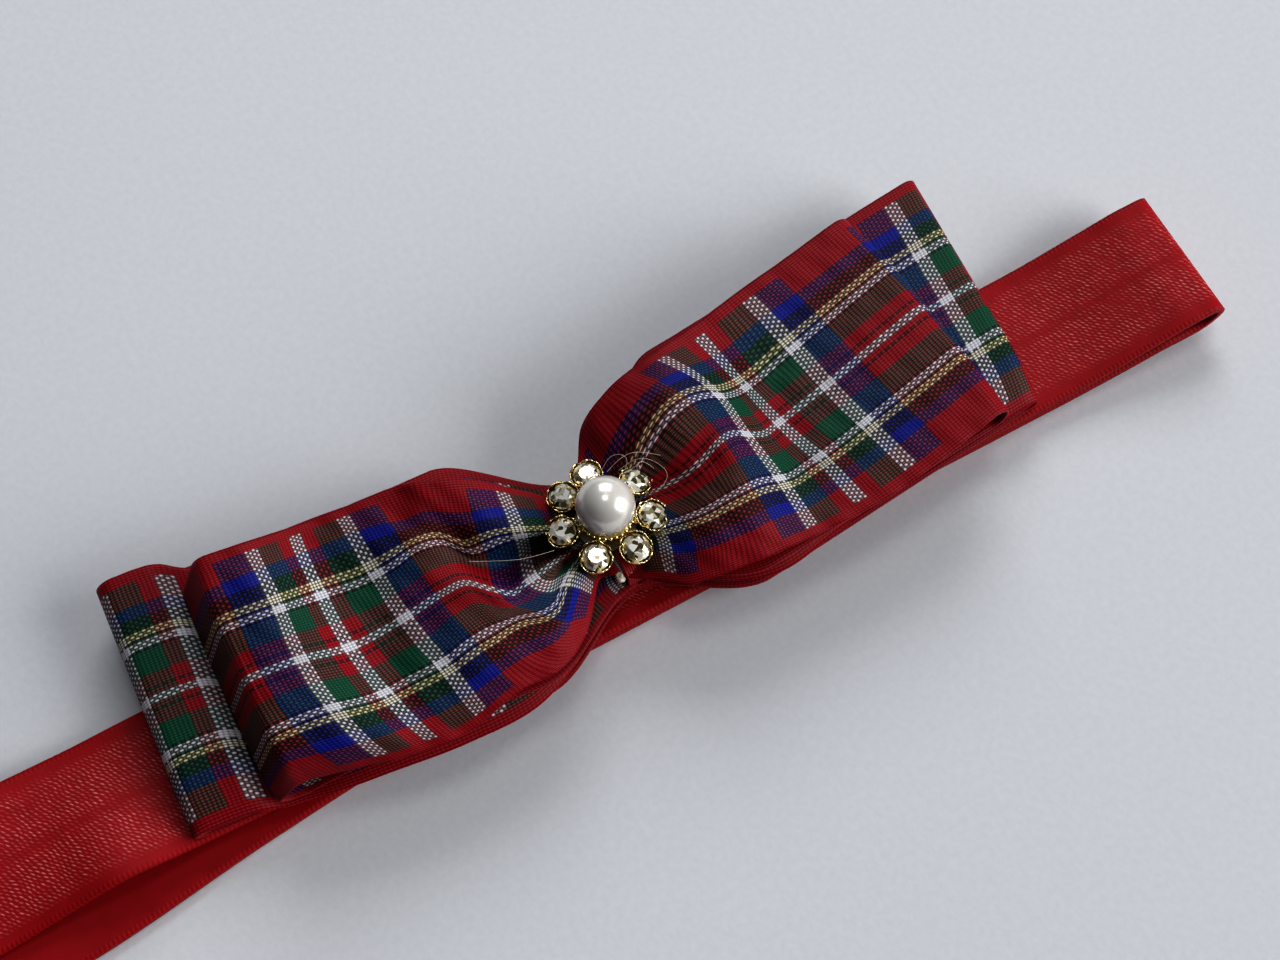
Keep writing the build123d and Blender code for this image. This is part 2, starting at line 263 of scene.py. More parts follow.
def tartan_material():
    """Plain-woven ribbon: each thread's own colour and crown, from the two counts of threads, with painted
    shade between the threads and painted highlights on their tops.
    """
    s = Shader("tartan_ribbon")
    u, v = s.weave()
    along = s.math("MULTIPLY", u, 1 / (UV_SCALE * WEFT_PITCH))
    across = s.math("MULTIPLY", v, 1 / (UV_SCALE * WARP_PITCH))
    # The weft wanders a little along the ribbon
    wobble = s.math("SUBTRACT", s.noise(900.0, 1.0), 0.5)
    along = s.math("ADD", along, s.math("MULTIPLY", wobble, 0.35))
    warp_half = WARP_STRIPES[-1][0]
    weft_half = WEFT_STRIPES[-1][0]
    from_centre = s.math("DIVIDE", s.math("ABSOLUTE", across), warp_half)
    warp = s.ramp(from_centre, stripes_to_stops(WARP_STRIPES))
    in_repeat = s.math("DIVIDE", s.math("PINGPONG", along, float(weft_half)), float(weft_half))
    weft = s.ramp(in_repeat, stripes_to_stops(WEFT_STRIPES))
    shifted = s.math("ADD", across, 0.5)
    warp_index = s.math("FLOOR", shifted)
    weft_index = s.math("FLOOR", along)
    fa = s.math("MULTIPLY", s.math("SUBTRACT", s.math("SUBTRACT", shifted, warp_index), 0.5), 2.0)
    fb = s.math("MULTIPLY", s.math("SUBTRACT", s.math("SUBTRACT", along, weft_index), 0.5), 2.0)
    fa2 = s.math("MULTIPLY", fa, fa)
    fb2 = s.math("MULTIPLY", fb, fb)
    parity = s.math("FLOORED_MODULO", s.math("ADD", warp_index, weft_index), 2.0)
    # In the selvages only the warp shows
    edge = s.math("GREATER_THAN", s.math("ABSOLUTE", across), SELVAGE_START)
    warp_up = s.math("MAXIMUM", parity, edge)
    weft = s.mix(edge, weft, warp)

    def crown(main, other):
        """A thread's height, from how far a point is off its middle, squared, in both directions."""
        high = s.math("SUBTRACT", 1.0, main)
        return s.math("MULTIPLY", high, s.math("SUBTRACT", 1.0, s.math("MULTIPLY", other, 0.6)))

    warp_crown = crown(fa2, fb2)
    weft_crown = crown(fb2, fa2)
    height = s.math("ADD", s.math("MULTIPLY", warp_crown, warp_up),
                    s.math("MULTIPLY", weft_crown, s.math("SUBTRACT", 1.0, warp_up)))
    thread = s.mix(warp_up, weft, warp)
    # Crossing threads of two colours lend each other their hue: a brown-grey where red meets green
    blend = s.mix(0.5, warp, weft)
    light = s.math("DIVIDE", s.grey(thread), s.math("MAXIMUM", s.grey(blend), 0.002))
    lent = s.mix(1.0, blend, s.combine(light, light, light), "MULTIPLY")
    thread = s.mix(0.62, thread, lent)
    thread = s.mix(0.22, thread, blend)
    # Where the two threads differ most, the colour greys a little
    contrast = s.math("MULTIPLY", s.distance(warp, weft), 3.0, clamp=True)
    value = s.grey(thread)
    thread = s.mix(s.math("MULTIPLY", contrast, 0.30), thread, s.combine(value, value, value))
    # Painted shade: the gaps between threads are darkened, deeply where the threads differ and softly where
    # they are alike, and the crowns a little lightened
    deep_painted_shade = s.ramp(height, greys((0.0, 0.02), (0.5, 0.42), (1.0, 1.15)), "EASE")
    soft_painted_shade = s.ramp(height, greys((0.0, 0.35), (0.5, 0.72), (1.0, 1.0)), "EASE")
    shade = s.mix(contrast, soft_painted_shade, deep_painted_shade)
    body = s.mix(1.0, thread, shade, "MULTIPLY")
    # Painted highlight: the tops of the threads are lightened unevenly, as if they shine
    fibre = s.noise(2600.0, 2.0)
    painted_gleam = s.math("MULTIPLY", s.math("POWER", height, 4.0), s.math("MULTIPLY", fibre, 0.06))
    colour = s.mix(painted_gleam, body, (0.75, 0.70, 0.70, 1.0))
    s.set(Base_Color=colour, Roughness=0.55, Specular_IOR_Level=0.18)
    s.bump(height, 0.05 * MM, 0.5)
    return s.material


# ---------------------------------------------------------------- elastic material
STITCH_LENGTH = 0.46  # mm along the band
STITCH_WIDTH = 0.44  # mm across the band
RIB_LENGTH = 0.45  # mm between the ribs of the band's edges
RIB_START = 6.5  # mm from the band's centre line
STITCH_END = 5.9  # mm from the band's centre line
OUTER_FACE_Z = 1.25  # mm above the floor, between the lower run and the upper one


def elastic_material():
    """Knitted elastic: short slanting stitches with a painted sheen on the band's outer face, plain on the
    lower run.
    """
    s = Shader("red_elastic")
    u, v = s.weave()
    lift = s.height_above_floor()
    along = s.math("MULTIPLY", u, 1 / (UV_SCALE * STITCH_LENGTH))
    across = s.math("MULTIPLY", v, 1 / (UV_SCALE * STITCH_WIDTH))
    across = s.math("ADD", across, s.math("MULTIPLY", s.noise(300.0, 2.0), 0.9))
    # Each column of stitches is slanted, starts at its own place and wanders along the band
    column = s.math("FLOOR", across)
    fa = s.math("SUBTRACT", across, column)
    slanted = s.math("ADD", along, s.math("MULTIPLY", s.math("SUBTRACT", fa, 0.5), 0.75))
    jitter = s.math("MULTIPLY", s.chance(column, 0.0), 0.9)
    wander = s.math("MULTIPLY", s.noise(500.0, 1.0), 1.2)
    slanted = s.math("ADD", slanted, s.math("ADD", jitter, wander))
    fb = s.math("FRACT", slanted)
    strength = s.math("ADD", s.math("MULTIPLY", s.chance(column, s.math("FLOOR", slanted)), 0.8), 0.2)
    # A stitch is a short raised dash, lightened as a painted sheen, fainter towards its column's sides
    bar = s.math("SUBTRACT", s.math("MULTIPLY", s.math("PINGPONG", fb, 0.5), 3.6), 0.9, clamp=True)
    side = s.math("POWER", s.math("MULTIPLY", s.math("PINGPONG", fa, 0.5), 2.0), 0.8)
    stitch_relief_and_sheen = s.math("MULTIPLY", s.math("MULTIPLY", bar, side), strength)
    # The stitches and their painted sheen stop before the edges, fade in the groove along the middle, and
    # come in patches
    from_centre = s.math("ABSOLUTE", s.math("MULTIPLY", v, 1 / UV_SCALE))
    inside = s.math("SUBTRACT", STITCH_END, from_centre, clamp=True)
    groove = s.math("ADD", s.math("MULTIPLY", from_centre, 0.9), 0.15, clamp=True)
    outer = s.math("MULTIPLY", s.math("SUBTRACT", lift, OUTER_FACE_Z), 6.0, clamp=True)
    patch = s.noise(170.0, 3.0)
    patchy = s.math("SUBTRACT", s.math("MULTIPLY", patch, 2.4), 0.35, clamp=True)
    stitch_relief_and_sheen = s.math("MULTIPLY", s.math("MULTIPLY", stitch_relief_and_sheen, patchy), s.math("MULTIPLY", inside, groove))
    stitch_relief_and_sheen = s.math("MULTIPLY", stitch_relief_and_sheen, outer)
    base = s.mix(s.noise(700.0, 3.0), (0.22, 0.002, 0.005, 1.0), (0.32, 0.004, 0.009, 1.0))
    # Painted sheen: the stitches are lightened towards pale pink
    colour = s.mix(s.math("MULTIPLY", stitch_relief_and_sheen, 0.95), base, (0.84, 0.34, 0.32, 1.0))
    rib = s.math("SINE", s.math("MULTIPLY", u, 2 * math.pi / (UV_SCALE * RIB_LENGTH)))
    rib = s.math("MULTIPLY", rib, s.math("GREATER_THAN", from_centre, RIB_START))
    height = s.math("ADD", stitch_relief_and_sheen, s.math("MULTIPLY", rib, 0.3))
    s.set(Base_Color=colour, Roughness=0.6, Specular_IOR_Level=0.2)
    s.bump(height, 0.06 * MM, 0.6)
    return s.material


# ---------------------------------------------------------------- hard materials
def gold_material():
    """Worn gold plate on stamped metal."""
    s = Shader("gold_metal")
    wear = s.noise(1800.0, 3.0)
    colour = s.mix(wear, (0.80, 0.60, 0.25, 1.0), (0.95, 0.84, 0.52, 1.0))
    rough = s.math("ADD", s.math("MULTIPLY", wear, 0.2), 0.12)
    s.set(Base_Color=colour, Metallic=1.0, Roughness=rough)
    s.bump(s.noise(2500.0, 2.0), 0.03 * MM, 0.5)
    return s.material


def crystal_material():
    """A foiled stone: painted reflections, a dark or light colour for each small cell, standing in for
    facets that each mirror something dark or light.
    """
    s = Shader("crystal")
    # Painted reflections and glints: each small cell gets a colour from near black to near white
    painted_glint_cell = s.cells(2500.0)
    colour = s.ramp(painted_glint_cell, [(0.0, (0.09, 0.07, 0.03)), (0.16, (0.34, 0.30, 0.18)),
                           (0.36, (0.66, 0.61, 0.46)), (0.62, (1.0, 0.97, 0.88))])
    s.set(Base_Color=colour, Metallic=0.45, Roughness=0.10, Coat_Weight=0.6, Coat_Roughness=0.02)
    return s.material


def pearl_material():
    """An imitation pearl's lustre under a clear coat."""
    s = Shader("pearl")
    cloud = s.noise(250.0, 3.0)
    colour = s.mix(cloud, (0.64, 0.61, 0.55, 1.0), (0.76, 0.74, 0.69, 1.0))
    s.set(Base_Color=colour, Metallic=0.3, Roughness=0.26, Coat_Weight=1.0, Coat_Roughness=0.05)
    s.bump(s.noise(900.0, 2.0), 0.02 * MM, 0.3)
    return s.material


def glue_material():
    """Cloudy set glue."""
    s = Shader("hot_glue")
    cloud = s.noise(600.0, 2.0)
    colour = s.mix(cloud, (0.72, 0.66, 0.52, 1.0), (0.86, 0.82, 0.72, 1.0))
    s.set(Base_Color=colour, Roughness=0.25, Transmission_Weight=0.5, IOR=1.45)
    s.bump(cloud, 0.1 * MM, 0.5)
    return s.material


def thread_material():
    """Red sewing thread."""
    s = Shader("sewing_thread")
    fibre = s.noise(3000.0, 3.0)
    colour = s.mix(fibre, (0.25, 0.003, 0.008, 1.0), (0.42, 0.012, 0.02, 1.0))
    s.set(Base_Color=colour, Roughness=0.6)
    s.bump(fibre, 0.05 * MM, 0.5)
    return s.material


def floor_material():
    """A plain pale surface with a fine grain."""
    s = Shader("floor")
    grain = s.noise(1400.0, 4.0)
    wide = s.noise(9.0, 2.0)
    colour = s.mix(grain, (0.55, 0.56, 0.575, 1.0), (0.63, 0.64, 0.655, 1.0))
    colour = s.mix(s.math("MULTIPLY", wide, 0.25), colour, (0.44, 0.47, 0.54, 1.0))
    s.set(Base_Color=colour, Roughness=0.55, Specular_IOR_Level=0.3)
    s.bump(grain, 0.05 * MM, 0.35)
    return s.material


# ---------------------------------------------------------------- smooth curves through set points
def smooth(xs, ys, x):
    """Values at x on a smooth curve through the points (xs, ys); ys may have several columns."""
    xs = np.asarray(xs, float)
    ys = np.asarray(ys, float)
    ys = ys.reshape(len(xs), -1)
    x = np.atleast_1d(np.asarray(x, float))
    gap = np.diff(xs)[:, None]
    slope = np.diff(ys, axis=0) / gap
    tangent = np.empty_like(ys)
    tangent[0] = slope[0]
    tangent[-1] = slope[-1]
    tangent[1:-1] = (slope[:-1] * gap[1:] + slope[1:] * gap[:-1]) / (gap[:-1] + gap[1:])
    k = np.clip(np.searchsorted(xs, x) - 1, 0, len(xs) - 2)
    h = gap[k]
    f = ((x - xs[k]) / gap[k, 0])[:, None]
    a = (1 + 2 * f) * (1 - f) ** 2 * ys[k] + f * (1 - f) ** 2 * h * tangent[k]
    b = f ** 2 * (3 - 2 * f) * ys[k + 1] + f ** 2 * (f - 1) * h * tangent[k + 1]
    return a + b


def shade_smooth(mesh):
    mesh.polygons.foreach_set("use_smooth", [True] * len(mesh.polygons))


def sheet_mesh(name, points, along, across, closed=False):
    """A grid mesh from points[row, column, xyz] in mm, with a weave map of mm along and across."""
    rows, columns, _ = points.shape
    verts = (points.reshape(-1, 3) * MM).tolist()
    faces = []
    corners = []
    last = rows if closed else rows - 1
    for r in range(last):
        n = (r + 1) % rows
        for c in range(columns - 1):
            faces.append((r * columns + c, r * columns + c + 1, n * columns + c + 1, n * columns + c))
            corners += [(r, c), (r, c + 1), (r + 1, c + 1), (r + 1, c)]
    mesh = bpy.data.meshes.new(name)
    mesh.from_pydata(verts, [], faces)
    layer = mesh.uv_layers.new(name="weave")
    index = np.array(corners)
    u = along[index[:, 0], index[:, 1]] * UV_SCALE
    v = across[index[:, 1]] * UV_SCALE
    layer.data.foreach_set("uv", np.stack([u, v], axis=1).ravel())
    shade_smooth(mesh)
    mesh.update()
    return add_object(name, mesh)


def thicken(piece, thickness):
    """Give a sheet its thickness, as real geometry."""
    solid = piece.modifiers.new("thickness", "SOLIDIFY")
    solid.thickness = thickness * MM
    solid.offset = 0.0
    graph = bpy.context.evaluated_depsgraph_get()
    mesh = bpy.data.meshes.new_from_object(piece.evaluated_get(graph))
    mesh.name = piece.name
    piece.modifiers.clear()
    old = piece.data
    piece.data = mesh
    bpy.data.meshes.remove(old)


# ---------------------------------------------------------------- ribbons
# All in mm. The upper ribbon's plan shape is drawn on the level DRAWING_Z as the camera sees it, and
# a point at another height moves back along the line of sight by SLANT for each mm of height.
RIBBON_HALF = 12.5
RIBBON_THICKNESS = 0.24
DRAWING_Z = 10.0
SLANT = (0.193, 0.355)
# Warp lines that the tables follow, as mm from the ribbon's centre line
LINES = [12.5, 9.1, 5.75, 2.7, 0.0, -2.7, -5.75, -9.1, -12.5]
ANCHOR_LINES = [12.5, 5.75, 0.0, -5.75, -12.5]
COLUMNS = np.linspace(RIBBON_HALF, -RIBBON_HALF, 61)
REACH = COLUMNS / RIBBON_HALF
WAIST_Y = 1.0
WAIST_HALF = 6.0
WAIST_X = 0.2  # where an under layer ends, each side of the middle
GATHER_X = 12.0  # where it starts to narrow

# Upper ribbon, top layer: x, then y on each warp line
UPPER_PLAN = [
    (-36.0, 15.1, 11.7, 8.2, 5.3, 2.5, -0.3, -3.2, -5.8, -8.2),
    (-30.0, 14.2, 11.2, 7.4, 4.6, 1.8, -1.0, -3.8, -7.2, -9.7),
    (-26.0, 13.6, 10.8, 6.8, 3.7, 0.7, -2.2, -4.9, -8.1, -10.8),
    (-22.0, 13.1, 10.4, 6.2, 3.4, 0.7, -2.2, -5.0, -8.5, -11.4),
    (-19.0, 12.9, 10.0, 6.3, 3.7, 1.0, -2.0, -4.95, -8.4, -11.2),
    (-16.0, 12.6, 9.15, 6.55, 4.0, 1.3, -1.3, -4.45, -7.9, -10.4),
    (-14.0, 12.1, 9.0, 5.9, 3.4, 1.1, -1.3, -4.35, -7.6, -10.1),
    (-12.5, 11.5, 8.0, 4.2, 2.0, -0.4, -2.5, -4.25, -7.5, -10.2),
    (-11.0, 10.9, 7.2, 4.0, 1.0, -1.8, -3.2, -4.4, -7.6, -10.2),
    (-9.5, 10.1, 6.7, 3.85, 1.1, -1.5, -3.3, -4.9, -7.5, -9.8),
    (-8.0, 8.9, 6.1, 3.35, 1.2, -1.3, -3.0, -4.7, -6.9, -9.0),
    (-6.5, 7.4, 5.1, 2.7, 1.0, -1.0, -2.1, -3.3, -5.3, -7.8),
    (-5.0, 6.0, 4.1, 2.0, 0.8, -0.8, -1.5, -2.2, -3.8, -6.0),
    (-4.0, 5.0, 3.4, 1.7, 0.7, -0.5, -1.1, -1.8, -3.1, -4.7),
    (-0.5, 6.0, 4.2, 2.6, 1.2, 0.1, -1.2, -2.6, -4.2, -6.0),
    (2.0, 9.6, 5.5, 1.9, 1.1, 0.7, -0.7, -2.4, -4.1, -7.8),
    (3.5, 10.7, 6.8, 3.0, 1.7, 0.8, -0.9, -2.7, -5.2, -8.8),
    (5.0, 11.4, 7.9, 4.1, 2.2, 0.85, -1.0, -3.0, -5.9, -9.0),
    (6.5, 12.0, 8.8, 5.3, 2.6, 0.8, -1.2, -3.2, -6.3, -9.2),
    (8.0, 12.4, 9.5, 6.3, 3.1, 0.9, -1.2, -3.35, -6.5, -9.35),
    (9.5, 12.7, 10.0, 7.1, 3.7, 1.2, -1.1, -3.3, -6.6, -9.5),
    (11.0, 13.0, 10.3, 7.5, 4.2, 1.7, -0.8, -3.25, -6.7, -9.7),
    (12.5, 13.3, 10.3, 7.6, 4.6, 2.3, -0.5, -3.25, -6.7, -9.8),
    (14.0, 13.5, 10.2, 7.2, 4.5, 2.4, -0.5, -3.4, -6.8, -9.9),
    (15.3, 13.7, 10.1, 6.5, 3.9, 1.6, -1.1, -3.85, -7.1, -10.0),
    (16.6, 13.9, 10.1, 6.3, 3.5, 1.0, -1.6, -4.2, -7.3, -10.0),
    (18.5, 14.3, 10.4, 6.5, 3.9, 1.3, -1.4, -4.05, -7.2, -10.1),
    (22.0, 15.0, 11.3, 7.4, 4.7, 2.0, -0.8, -3.6, -6.8, -10.1),
    (27.0, 15.8, 12.2, 8.6, 5.8, 3.1, 0.2, -2.6, -5.9, -9.6),
    (32.0, 16.7, 13.2, 9.8, 7.0, 4.3, 1.3, -1.6, -5.0, -8.7),
    (38.0, 17.7, 14.4, 11.1, 8.3, 5.6, 2.7, -0.3, -3.7, -7.5),
]
# The same layer: x, then z on each warp line
UPPER_HEIGHT = [
    (-36.0, 11.0, 11.3, 11.4, 11.4, 11.4, 11.4, 11.2, 10.3, 8.0),
    (-33.0, 11.3, 11.7, 11.9, 11.9, 11.9, 11.9, 11.6, 10.6, 8.2),
    (-30.0, 11.3, 11.8, 12.1, 12.1, 12.0, 12.0, 11.6, 10.7, 8.5),
    (-28.0, 10.7, 11.1, 11.3, 11.3, 11.2, 11.2, 11.1, 10.5, 8.6),
    (-26.0, 10.1, 10.2, 10.1, 10.0, 9.9, 9.9, 10.1, 10.1, 8.6),
    (-24.0, 9.9, 9.9, 9.7, 9.6, 9.5, 9.5, 9.6, 9.6, 8.5),
    (-22.0, 10.0, 10.1, 10.0, 9.8, 9.7, 9.8, 9.8, 9.5, 8.5),
    (-19.0, 10.3, 10.7, 10.9, 10.6, 10.4, 10.5, 10.3, 9.8, 8.6),
    (-16.0, 10.8, 11.2, 11.6, 11.1, 11.0, 11.0, 10.8, 10.3, 9.4),
    (-14.0, 11.8, 11.8, 11.3, 10.5, 11.3, 11.1, 10.8, 10.4, 9.4),
    (-12.5, 12.2, 12.1, 11.0, 9.0, 11.1, 10.9, 10.7, 10.4, 9.3),
    (-11.0, 12.4, 12.4, 11.5, 7.5, 10.3, 10.6, 10.8, 10.3, 9.2),
    (-9.5, 12.3, 12.5, 11.8, 6.8, 10.0, 10.4, 10.8, 10.2, 9.0),
    (-8.0, 11.8, 12.2, 11.5, 6.5, 9.7, 10.0, 10.6, 10.0, 8.8),
    (-6.5, 10.9, 11.5, 10.8, 6.4, 9.2, 8.8, 9.8, 9.4, 8.3),
    (-5.0, 9.5, 10.1, 9.7, 6.6, 8.5, 8.0, 8.8, 8.5, 7.8),
    (-4.0, 8.5, 8.9, 8.6, 6.9, 8.0, 7.5, 8.0, 7.8, 7.4),
    (-0.5, 7.4, 7.5, 7.4, 7.3, 7.4, 7.3, 7.4, 7.4, 7.2),
    (2.0, 8.4, 8.4, 8.2, 7.8, 8.0, 7.7, 8.2, 8.4, 8.2),
    (3.5, 9.6, 9.8, 9.3, 8.6, 8.6, 8.6, 9.2, 9.4, 9.0),
    (5.0, 10.2, 10.6, 10.4, 9.5, 9.2, 9.5, 10.1, 10.1, 9.4),
    (6.5, 10.6, 11.2, 11.3, 10.5, 9.9, 10.3, 10.8, 10.6, 9.7),
    (8.0, 10.9, 11.7, 12.0, 11.4, 10.7, 11.0, 11.3, 11.0, 9.9),
    (9.5, 11.1, 12.0, 12.5, 12.0, 11.5, 11.6, 11.7, 11.2, 10.0),
    (11.0, 11.2, 12.1, 12.7, 12.4, 12.1, 12.1, 12.0, 11.3, 10.0),
    (12.5, 11.2, 12.0, 12.5, 12.5, 12.6, 12.4, 12.0, 11.2, 9.9),
    (14.0, 11.0, 11.6, 11.8, 12.0, 12.4, 12.1, 11.6, 10.8, 9.7),
    (15.3, 10.8, 11.0, 10.8, 10.8, 11.2, 11.0, 10.6, 10.2, 9.5),
    (16.6, 10.6, 10.6, 10.2, 10.0, 9.9, 9.9, 9.8, 9.8, 9.4),
    (18.5, 10.5, 10.4, 10.0, 9.7, 9.6, 9.6, 9.6, 9.6, 9.4),
    (22.0, 10.4, 10.3, 10.1, 9.9, 9.8, 9.8, 9.8, 9.7, 9.4),
    (27.0, 10.5, 10.5, 10.4, 10.3, 10.2, 10.2, 10.1, 10.0, 9.6),
    (32.0, 10.7, 10.8, 10.8, 10.7, 10.7, 10.7, 10.6, 10.5, 10.1),
    (38.0, 10.8, 10.9, 10.9, 10.9, 10.9, 10.9, 10.8, 10.8, 10.5),
]
# Weft lines of the upper ribbon: mm along the cloth from the left pivot, then x on each anchor line
UPPER_WEFTS = [
    (-12.0, -35.2, -35.5, -35.6, -35.2, -33.4),
    (-6.0, -29.7, -29.6, -29.9, -29.3, -27.6),
    (0.0, -25.8, -26.2, -26.1, -25.1, -23.2),
    (6.0, -21.3, -20.9, -20.5, -19.3, -18.4),
    (10.0, -17.9, -17.3, -16.9, -15.8, -14.6),
    (18.0, -9.7, -11.1, -12.1, -9.3, -5.9),
    (22.0, -7.2, -7.6, -8.8, -6.0, -4.4),
    (28.0, -4.0, -3.8, -3.7, -1.5, -1.0),
    (34.0, -1.0, 0.0, 1.5, 3.5, 2.3),
    (38.0, 1.5, 2.5, 4.0, 6.0, 4.5),
    (46.0, 9.0, 12.0, 12.9, 13.0, 12.9),
    (50.0, 11.4, 14.7, 15.1, 15.7, 16.0),
    (56.0, 15.9, 17.4, 18.5, 20.1, 21.4),
    (62.0, 22.0, 23.5, 24.4, 25.6, 27.2),
    (66.0, 25.7, 27.3, 28.3, 29.4, 31.0),
    (74.0, 34.1, 35.4, 36.4, 37.4, 38.6),
]
RIPPLE = 0.07  # mm, the cloth's small unevenness
# Where the top layer ends at each fold: x on each anchor line
UPPER_LEFT_EDGE = (-33.7, -34.2, -34.3, -34.5, -34.8)
UPPER_RIGHT_EDGE = (33.6, 35.0, 35.5, 36.2, 36.6)


def across_lines(lines, rows, columns):
    """Rows of values on the given warp lines, spread smoothly over all the columns."""
    order = np.argsort(lines)
    values = np.asarray(rows, float)[:, order].T
    return smooth(np.asarray(lines)[order], values, columns).T


def fold_rows(edge, bulge, bottom, outward, steps=14):
    """Rows round a fold, from the top layer's last row down to a bottom height."""
    rows = []
    top = edge[:, 2]
    middle = (top + bottom) / 2
    half = (top - bottom) / 2
    for step in range(1, steps + 1):
        angle = math.pi * step / steps
        reach = bulge * math.sin(angle)
        row = edge.copy()
        row[:, 0] = edge[:, 0] + outward[0] * reach
        row[:, 1] = edge[:, 1] + outward[1] * reach
        row[:, 2] = middle + half * math.cos(angle)
        rows.append(row)
    return rows


# The upper ribbon's left fold, from its top row to its foot: share of its reach, share of its drop
LEAN = [
    (0.0, 0.0), (0.17, 0.02), (0.34, 0.10), (0.50, 0.29),
    (0.75, 0.62), (0.97, 0.90), (1.0, 0.97), (0.94, 1.0),
]


def leaning_fold(edge, reach, bottom, steps=32):
    """Rows down a fold whose face leans outward to its foot."""
    profile = np.array(LEAN)
    key = np.linspace(0, 1, len(profile))
    rows = []
    for step in range(1, steps + 1):
        share, drop = smooth(key, profile, step / steps)[0]
        row = edge.copy()
        row[:, 0] = edge[:, 0] - reach * share
        row[:, 1] = edge[:, 1] + 0.05 * reach * share
        row[:, 2] = edge[:, 2] + (bottom - edge[:, 2]) * drop
        rows.append(row)
    return rows


def even_rows(points, maps, count):
    """The same columns, with count rows spaced evenly along each column."""
    rows, columns, _ = points.shape
    step = np.linalg.norm(np.diff(points, axis=0), axis=2)
    length = np.vstack([np.zeros(columns), np.cumsum(step, axis=0)])
    new_points = np.empty((count, columns, 3))
    new_maps = np.empty((count, columns))
    for c in range(columns):
        want = np.linspace(0, length[-1, c], count)
        for axis in range(3):
            new_points[:, c, axis] = np.interp(want, length[:, c], points[:, c, axis])
        new_maps[:, c] = np.interp(want, length[:, c], maps[:, c])
    return new_points, new_maps


def strip(top_points, top_maps, left_rows, right_rows):
    """One ribbon strip, from the waist's underside round the left fold, over the top, and back.

    left_rows and right_rows run from the top layer's ends round the folds to the waist.
    """
    points = np.array(left_rows[::-1] + list(top_points) + right_rows)
    maps = np.zeros(points.shape[:2])
    start = len(left_rows)
    stop = start + len(top_points)
    maps[start:stop] = top_maps
    for r in range(start - 1, -1, -1):
        maps[r] = maps[r + 1] - np.linalg.norm(points[r + 1] - points[r], axis=1)
    for r in range(stop, len(points)):
        maps[r] = maps[r - 1] + np.linalg.norm(points[r] - points[r - 1], axis=1)
    return points, maps


def gathered(x):
    """How far the cloth is drawn in, from 0 out on the wings to 1 at the waist."""
    near = np.clip((GATHER_X - np.abs(x)) / (GATHER_X - WAIST_X), 0, 1)
    return near * near * (3 - 2 * near)


def under_rows(fold_row, side, count=60):
    """Rows of an under layer at its fold's height, from the fold to the waist on one side."""
    wide_middle, wide_half = 1.6, 12.3  # what the cloth would run to if it weren't gathered
    rows = []
    for step in range(1, count + 1):
        f = step / count
        row = fold_row.copy()
        row[:, 0] = fold_row[:, 0] * (1 - f) + side * WAIST_X * f
        narrow = gathered(row[:, 0])
        wide_y = fold_row[:, 1] * (1 - f) + (wide_middle + wide_half * REACH) * f
        row[:, 1] = wide_y * (1 - narrow) + (WAIST_Y + WAIST_HALF * REACH) * narrow
        rows.append(row)
    return rows


def upper_ribbon():
    plan = np.array(UPPER_PLAN)
    height = np.array(UPPER_HEIGHT)
    wefts = np.array(UPPER_WEFTS)
    plan_y = across_lines(LINES, plan[:, 1:], COLUMNS)
    height_z = across_lines(LINES, height[:, 1:], COLUMNS)
    weft_x = across_lines(ANCHOR_LINES, wefts[:, 1:], COLUMNS)
    left_x = across_lines(ANCHOR_LINES, [UPPER_LEFT_EDGE], COLUMNS)[0]
    right_x = across_lines(ANCHOR_LINES, [UPPER_RIGHT_EDGE], COLUMNS)[0]
    samples = 500
    points = np.empty((samples, len(COLUMNS), 3))
    maps = np.empty((samples, len(COLUMNS)))
    for c in range(len(COLUMNS)):
        x = np.linspace(left_x[c], right_x[c], samples)
        y = smooth(plan[:, 0], plan_y[:, c], x)[:, 0]
        z = smooth(height[:, 0], height_z[:, c], x)[:, 0]
        z = z + RIPPLE * np.sin(1.9 * x + 0.5 * COLUMNS[c]) * np.sin(0.8 * COLUMNS[c] + 0.4 * x + 1.0)
        points[:, c, 0] = x - SLANT[0] * (z - DRAWING_Z)
        points[:, c, 1] = y - SLANT[1] * (z - DRAWING_Z)
        points[:, c, 2] = z
        maps[:, c] = smooth(weft_x[:, c], wefts[:, 0], x)[:, 0]
    points, maps = even_rows(points, maps, count=340)
    left_fold = leaning_fold(points[0], reach=3.1, bottom=5.2)
    right_fold = fold_rows(points[-1], bulge=1.6, bottom=7.1, outward=(1.0, 0.1))
    left_under = under_rows(left_fold[-1], -1)
    right_under = under_rows(right_fold[-1], 1)
    lower = np.array(LOWER_TOP)
    for row in left_under + right_under:
        row[:, 2] = np.interp(row[:, 0], lower[:, 0], lower[:, 3]) + UPPER_GAP
    points, maps = strip(points, maps, left_fold + left_under, right_fold + right_under)
    piece = sheet_mesh("upper_bow_ribbon", points, maps, COLUMNS)
    thicken(piece, RIBBON_THICKNESS)
    return piece


